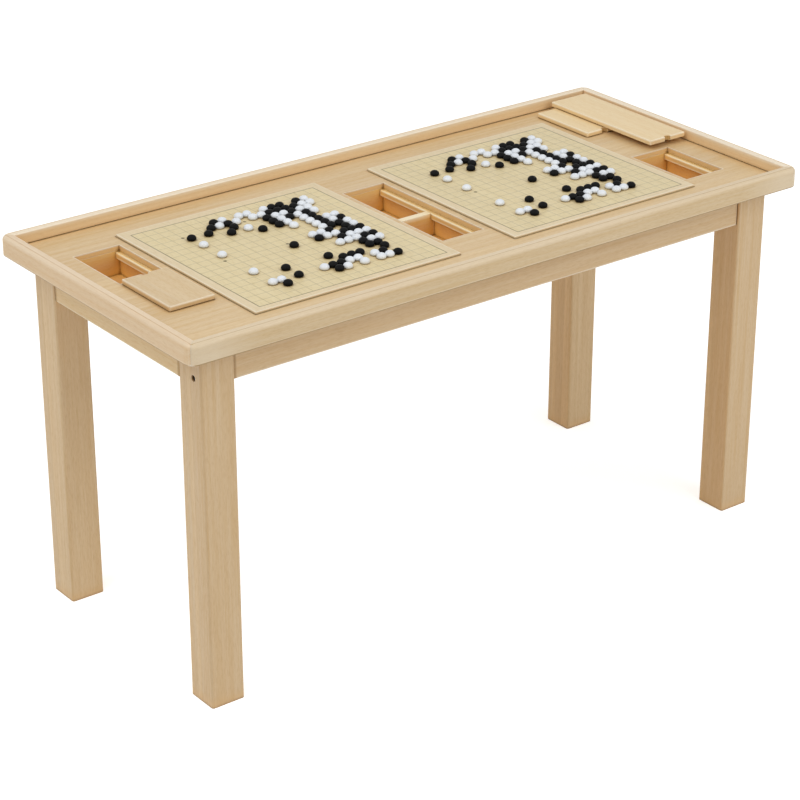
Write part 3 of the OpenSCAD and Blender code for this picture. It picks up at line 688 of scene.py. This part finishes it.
class WEIQI_OT_wells(bpy.types.Operator):
    """Finish the three wells: warm-toned wood on their sides, ends, floors, ledges and divider"""
    bl_idname = "weiqi_table.wells"
    bl_label = "Wells"

    def execute(self, context):
        setting = context.scene.weiqi_table.wood
        for node in nodes_named("left_well", "mid_well", "right_well"):
            looks = {"edge_light": 0.8 if node.endswith("_ledge") else 0.0}
            if node.endswith("_divider"):
                # The divider's top and edges are paler by painted highlight, with sanded wear on the edges
                looks = {"edge_light": 0.9, "rubbed_top": 0.75}
            # Painted shade in the wells, deepening downwards, by tint_at
            finish_wood(
                [node], "lacquered_well", setting.well, setting.deck_stave, tint_at=amber_depth, **looks
            )
        return {"FINISHED"}


class WEIQI_OT_lids(bpy.types.Operator):
    """Finish the three lids: narrow glued staves, and the right and long lids paler than the left one by
    painted light
    """
    bl_idname = "weiqi_table.lids"
    bl_label = "Lids"

    def execute(self, context):
        setting = context.scene.weiqi_table.wood
        for nodes, rgb in ((["lid_left"], setting.lid), (["lid_right", "lid_long"], setting.pale_lid)):
            # The notch walls are darkened as painted shade
            finish_wood(
                nodes, "lacquered_lid", rgb, setting.lid_stave,
                edge_light=0.55, cut_wall=deeper(rgb, *NOTCH)
            )
        return {"FINISHED"}


class WEIQI_OT_boards(bpy.types.Operator):
    """Finish the two boards: a yellow field printed with 19 by 19 lines and star points, and a margin"""
    bl_idname = "weiqi_table.boards"
    bl_label = "Boards"

    def execute(self, context):
        setting = context.scene.weiqi_table.board
        worn = context.scene.weiqi_table.wood.worn
        for node in nodes_named("board_"):
            material, tree = new_material(f"printed_board_{node}")
            place = add(tree, "TexCoord", {})["Object"]
            field, fibre, fleck = wood_colour(tree, place, node, setting.wood, setting.stave, setting.grain)
            margin, _, _ = wood_colour(tree, place, node, setting.margin, setting.stave, setting.grain)
            ink, on_field = printed_grid(tree, place, node, setting)
            plain = add(tree, "Mix", {FACTOR: on_field, A: margin, B: field}, data_type="RGBA")[MIXED]
            printed = add(
                tree, "Mix", {FACTOR: ink, A: plain, B: opaque(setting.ink)}, data_type="RGBA"
            )[MIXED]
            _, _, to_edge = depths_in_box(tree, place, node)
            # Painted highlight, along with sanded wear, along the board's edges
            pale = fading(tree, to_edge, WORN_CORE * worn, worn, setting.edge_pale)
            lacquered(tree, printed, fibre, fleck, setting.margin, pale)
            put_on(node, material)
        return {"FINISHED"}


def printed_grid(tree, place, node, setting):
    """How much ink lies on each point of a board, and 1 on the printed field. A line is where the distance
    to the nearest whole number of cells is under half the line's width, and a star point where that holds
    for a circle."""
    low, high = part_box(node)
    middle = [-(a + b) / 2 for a, b in zip(low, high)]
    middle[Y] += setting.off_centre
    centred = add(tree, "Mapping", {"Vector": place, "Location": middle})[0]
    part = add(tree, "SeparateXYZ", {0: centred})
    to_line, to_frame, to_star, inside = [], [], [], []
    for axis, cell in ((X, setting.cell_x), (Y, setting.cell_y)):
        reach = setting.cells / 2 * cell
        away = add(tree, "Math", {0: part[axis]}, operation="ABSOLUTE")[0]
        past = add(tree, "Math", {0: away, 1: reach}, operation="SUBTRACT")[0]
        star_cell = setting.star_step * cell / 2
        to_line.append(add(tree, "Math", {0: part[axis], 1: cell / 2}, operation="PINGPONG")[0])
        to_frame.append(add(tree, "Math", {0: past}, operation="ABSOLUTE")[0])
        to_star.append(add(tree, "Math", {0: part[axis], 1: star_cell}, operation="PINGPONG")[0])
        inside.append(add(tree, "Math", {0: past, 1: setting.frame_line / 2}, operation="LESS_THAN")[0])
    nearest = add(tree, "Math", {0: to_line[0], 1: to_line[1]}, operation="MINIMUM")[0]
    border = add(tree, "Math", {0: to_frame[0], 1: to_frame[1]}, operation="MINIMUM")[0]
    across = add(tree, "CombineXYZ", {0: to_star[0], 1: to_star[1]})[0]
    radius = add(tree, "VectorMath", {0: across}, operation="LENGTH")["Value"]
    field = add(tree, "Math", {0: inside[0], 1: inside[1]}, operation="MULTIPLY")[0]
    ink = 0.0
    for gap, width, strength in (
        (nearest, setting.line, setting.line_ink),
        (border, setting.frame_line, setting.frame_ink),
        (radius, setting.star, setting.star_ink),
    ):
        here = add(tree, "Math", {0: gap, 1: width / 2}, operation="LESS_THAN")[0]
        here = add(tree, "Math", {0: here, 1: strength}, operation="MULTIPLY")[0]
        ink = add(tree, "Math", {0: ink, 1: here}, operation="MAXIMUM")[0]
    under_top = (high[Z] - low[Z]) / 2 - setting.printed
    top = add(tree, "Math", {0: part[Z], 1: under_top}, operation="GREATER_THAN")[0]
    field = add(tree, "Math", {0: field, 1: top}, operation="MULTIPLY")[0]
    return add(tree, "Math", {0: ink, 1: field}, operation="MULTIPLY")[0], field


class WEIQI_OT_steel(bpy.types.Operator):
    """Finish the blackened leg bolts and the zinc-plated barrel nuts and screws"""
    bl_idname = "weiqi_table.steel"
    bl_label = "Steel"

    def execute(self, context):
        black = filmed_steel("blackened_steel", linear("#2E2B29"), linear("#1C1A19"), roughness=0.45)
        zinc = filmed_steel("zinc_plated_steel", linear("#C9CBCB"), linear("#AFAFA8"), roughness=0.28)
        put_on("leg_bolts", black)
        for node in ("barrel_nuts", "deck_screws", "floor_screws"):
            put_on(node, zinc)
        return {"FINISHED"}


def filmed_steel(name, light, dark, roughness, grain=1.5 * MM, unevenness=0.2):
    """Steel under a thin uneven film, which changes its tint and its gloss from place to place."""
    material, tree = new_material(name)
    place = add(tree, "TexCoord", {})["Object"]
    film = add(tree, "TexNoise", {"Vector": place, "Scale": 1 / grain, "Detail": 3.0})["Fac"]
    rough = add(tree, "MapRange", {VALUE: film, TO_LOW: roughness, TO_HIGH: roughness + unevenness})[0]
    tint = add(tree, "Mix", {FACTOR: film, A: opaque(light), B: opaque(dark)}, data_type="RGBA")[MIXED]
    shader = add(tree, "BsdfPrincipled", {"Base Color": tint, "Metallic": 1.0, "Roughness": rough})[0]
    add(tree, "OutputMaterial", {"Surface": shader})
    return material


def stone_shell(setting, height):
    """Points of one stone about the z axis, standing on z = 0, and the number of its rings. The profile's
    radius is the foot's plus the rest times the sine of the turn on the belly, and above the edge the
    whole radius times the cosine of the turn, so that belly and dome meet smoothly."""
    rings, sides = setting.rings, setting.sides
    foot, wide, edge = setting.foot / 2, setting.width / 2, setting.edge
    belly = np.linspace(0, math.pi / 2, setting.belly_rings + 1)[:-1]
    dome = np.linspace(0, math.pi / 2, rings + 1)[:-1]
    radius = np.concatenate([foot + (wide - foot) * np.sin(belly), wide * np.cos(dome)])
    level = np.concatenate([edge * (1 - np.cos(belly)), edge + (height - edge) * np.sin(dome)])
    turn = 2 * math.pi * np.arange(sides) / sides
    ring = np.stack([np.cos(turn), np.sin(turn), np.zeros(sides)], axis=1)
    points = radius[:, None, None] * ring + level[:, None, None] * np.array([0, 0, 1])
    top = np.array([[0, 0, height]])
    return np.concatenate([points.reshape(-1, 3), top]), len(radius)


def stone_centres(node, setting):
    """Foot centres of the stones in a CAD node, in metres. The CAD's stones stand on an even pitch, so
    a vertex's column is its distance from the leftmost edge over the pitch, rounded down, with a little
    slack for a vertex right on an edge."""
    mesh = frame["nodes"][node].data
    points = np.empty(3 * len(mesh.vertices))
    mesh.vertices.foreach_get("co", points)
    low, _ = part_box(node)
    corner = np.array(low[:2])
    pitch = np.array([setting.pitch_x, setting.pitch_y])
    slack = 0.1 * MM
    cells = np.unique(np.floor((points.reshape(-1, 3)[:, :2] - corner + slack) / pitch), axis=0)
    return np.column_stack([cells * pitch + corner + setting.width / 2, np.full(len(cells), low[Z])])


def make_stones(node, setting):
    """All stones of a CAD node as one mesh of closed shells, in the same places."""
    low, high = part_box(node)
    shell, levels = stone_shell(setting, high[Z] - low[Z])
    centres = stone_centres(node, setting)
    points = (centres[:, None, :] + shell[None, :, :]).reshape(-1, 3)
    sides = setting.sides
    here = np.arange(sides)
    following = (here + 1) % sides
    start = sides * np.arange(levels - 1)[:, None]
    lower, upper = here + start, following + start
    walls = np.stack([lower, upper, upper + sides, lower + sides], axis=2)
    last = sides * (levels - 1)
    cap = np.stack([here + last, following + last, np.full(sides, sides * levels)], axis=1)
    foot = here[::-1]
    first = len(shell) * np.arange(len(centres))
    corners = np.concatenate([walls.reshape(-1), cap.reshape(-1), foot])
    counts = np.concatenate([np.full(walls.shape[0] * sides, 4), np.full(sides, 3), [sides]])
    corners = (first[:, None] + corners[None, :]).reshape(-1)
    counts = np.tile(counts, len(centres))
    mesh = bpy.data.meshes.new(f"{node}_shells")
    mesh.vertices.add(len(points))
    mesh.vertices.foreach_set("co", points.ravel())
    mesh.loops.add(len(corners))
    mesh.loops.foreach_set("vertex_index", corners)
    mesh.polygons.add(len(counts))
    mesh.polygons.foreach_set("loop_start", np.concatenate([[0], np.cumsum(counts)[:-1]]))
    mesh.polygons.foreach_set("loop_total", counts)
    mesh.polygons.foreach_set("use_smooth", counts < sides)
    mesh.update(calc_edges=True)
    mesh.validate()
    stones = bpy.data.objects.new(f"{node}_shells", mesh)
    bpy.context.scene.collection.objects.link(stones)
    return stones


def stone_material(name, rgb, roughness, gloss, setting):
    """Fired stone of glassy powder: black ones are matt with a faint sheen, white ones smoother, and
    the tone differs a little from stone to stone."""
    material, tree = new_material(name)
    place = add(tree, "TexCoord", {})["Object"]
    spread = add(tree, "TexNoise", {"Vector": place, "Scale": 1 / setting.pitch_x, "Detail": 0.0})["Fac"]
    grit = add(tree, "TexNoise", {"Vector": place, "Scale": 1 / setting.grit, "Detail": 2.0})["Fac"]
    darker = deeper(rgb, 1.0, gain=0.92)
    tint = add(tree, "Mix", {FACTOR: spread, A: opaque(rgb), B: darker}, data_type="RGBA")[MIXED]
    matt = add(tree, "Bump", {"Strength": 0.15, "Distance": RELIEF, "Height": grit})[0]
    shader = add(
        tree, "BsdfPrincipled",
        {"Base Color": tint, "Roughness": roughness, "Normal": matt, "IOR": 1.5, "Specular IOR Level": gloss}
    )[0]
    add(tree, "OutputMaterial", {"Surface": shader})
    return material


class WEIQI_OT_stones(bpy.types.Operator):
    """Make the stones: a flat foot, a tight belly and a smooth dome, one closed shell for each"""
    bl_idname = "weiqi_table.stones"
    bl_label = "Stones"

    def execute(self, context):
        setting = context.scene.weiqi_table.stones
        looks = {
            kind: stone_material(
                f"fired_{kind}_stone", getattr(setting, kind), getattr(setting, f"{kind}_rough"),
                getattr(setting, f"{kind}_gloss"), setting
            )
            for kind in ("black", "white")
        }
        for node in nodes_named("black_stones", "white_stones"):
            stones = make_stones(node, setting)
            kind = node.split("_")[0]
            stones.data.materials.append(looks[kind])
            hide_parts(node)
            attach(stones, node)
        return {"FINISHED"}


class WEIQI_OT_stage(bpy.types.Operator):
    """Make the stage: a plain pale floor, soft light from above and all round, and the camera"""
    bl_idname = "weiqi_table.stage"
    bl_label = "Stage"

    def execute(self, context):
        setting = context.scene.weiqi_table.stage
        make_floor(setting)
        make_sky(setting)
        make_lamp("front_light", setting.front_power, setting.front_size, setting.front_place)
        make_lamp("left_light", setting.left_power, setting.left_size, setting.left_place)
        make_camera(setting)
        context.scene.view_settings.view_transform = "Standard"
        return {"FINISHED"}


def seen_directly(tree):
    """1 for what the camera, a reflection or clear glass shows, and 0 for light that only lights things."""
    rays = add(tree, "LightPath", {})
    mirrored = add(
        tree, "Math", {0: rays["Is Glossy Ray"], 1: rays["Is Transmission Ray"]}, operation="MAXIMUM"
    )[0]
    return add(tree, "Math", {0: rays["Is Camera Ray"], 1: mirrored}, operation="MAXIMUM")[0]


def make_floor(setting):
    """Square floor at z = 0: matt pale paint that keeps the table's shadow."""
    half = setting.floor_size / 2
    corners = half * np.array([[-1, -1, 0], [1, -1, 0], [1, 1, 0], [-1, 1, 0]])
    mesh = bpy.data.meshes.new("floor")
    mesh.from_pydata(corners.tolist(), [], [range(4)])
    material, tree = new_material("matt_pale_floor")
    lift = add(tree, "Math", {0: seen_directly(tree), 1: setting.glow}, operation="MULTIPLY")[0]
    shader = add(
        tree, "BsdfPrincipled",
        {
            "Base Color": opaque(setting.floor), "Roughness": 0.9, "Specular IOR Level": 0.1,
            "Emission Color": opaque(linear("#FFFFFF")), "Emission Strength": lift
        }
    )[0]
    add(tree, "OutputMaterial", {"Surface": shader})
    mesh.materials.append(material)
    floor = bpy.data.objects.new("floor", mesh)
    bpy.context.scene.collection.objects.link(floor)


def make_sky(setting):
    """White all round: full white where it is seen, and the sky's own brightness where it gives light."""
    world = bpy.data.worlds.new("studio")
    world.use_nodes = True
    tree = world.node_tree
    tree.nodes.clear()
    strength = add(tree, "MapRange", {VALUE: seen_directly(tree), TO_LOW: setting.sky, TO_HIGH: 1.0})[0]
    white = add(tree, "Background", {"Color": (1, 1, 1, 1), "Strength": strength})[0]
    add(tree, "OutputWorld", {"Surface": white})
    bpy.context.scene.world = world


def make_lamp(name, power, side, place):
    """Large square lamp, turned to the table's middle."""
    lamp = bpy.data.lights.new(name, "AREA")
    lamp.energy = power
    lamp.size = side
    light = bpy.data.objects.new(name, lamp)
    low, high = CAD_BOX
    light.location = place
    light.rotation_euler = ((low + high) / 2 - Vector(place)).to_track_quat("-Z", "Y").to_euler()
    bpy.context.scene.collection.objects.link(light)


def make_camera(setting, sight=10):
    """Camera at the photograph's angle, at its distance back from the aim. It sees as far as sight times
    that distance."""
    lens = bpy.data.cameras.new("photo_view")
    lens.lens = setting.lens
    lens.shift_y = setting.shift
    lens.clip_end = sight * setting.distance
    camera = bpy.data.objects.new("photo_view", lens)
    turn, rise = setting.azimuth, setting.elevation
    back = Vector((math.sin(turn) * math.cos(rise), -math.cos(turn) * math.cos(rise), math.sin(rise)))
    camera.location = Vector(setting.aim) + setting.distance * back
    camera.rotation_euler = (math.pi / 2 - rise, 0, turn)
    bpy.context.scene.collection.objects.link(camera)
    bpy.context.scene.camera = camera


class WEIQI_PT_table(bpy.types.Panel):
    """The table's steps and settings, in the sidebar of the 3D view"""
    bl_idname = "WEIQI_PT_table"
    bl_label = "Weiqi Table"
    bl_space_type = "VIEW_3D"
    bl_region_type = "UI"
    bl_category = "Weiqi Table"

    def draw(self, context):
        steps = self.layout.column(align=True)
        for step in STEPS:
            steps.operator(step.bl_idname)
        settings = context.scene.weiqi_table
        for title in ("wood", "board", "stones", "stage"):
            group = getattr(settings, title)
            box = self.layout.box()
            box.label(text=title.capitalize())
            for name in group.__annotations__:
                box.prop(group, name)


STEPS = (
    WEIQI_OT_rim, WEIQI_OT_deck, WEIQI_OT_frame, WEIQI_OT_wells, WEIQI_OT_lids, WEIQI_OT_boards,
    WEIQI_OT_steel, WEIQI_OT_stones, WEIQI_OT_stage,
)
SETTINGS = (
    WeiqiWoodSettings, WeiqiBoardSettings, WeiqiStoneSettings, WeiqiStageSettings, WeiqiTableSettings,
)
CLASSES = (*SETTINGS, *STEPS, WEIQI_PT_table)


def register():
    """Registers the classes and hangs the settings on the scene."""
    for kind in CLASSES:
        bpy.utils.register_class(kind)
    bpy.types.Scene.weiqi_table = PointerProperty(type=WeiqiTableSettings)


def unregister():
    """Takes the settings and classes away again."""
    del bpy.types.Scene.weiqi_table
    for kind in reversed(CLASSES):
        bpy.utils.unregister_class(kind)


def main():
    """Runs every step in order."""
    register()
    for step in STEPS:
        getattr(bpy.ops.weiqi_table, step.bl_idname.split(".")[1])()


if __name__ == "__main__":
    main()
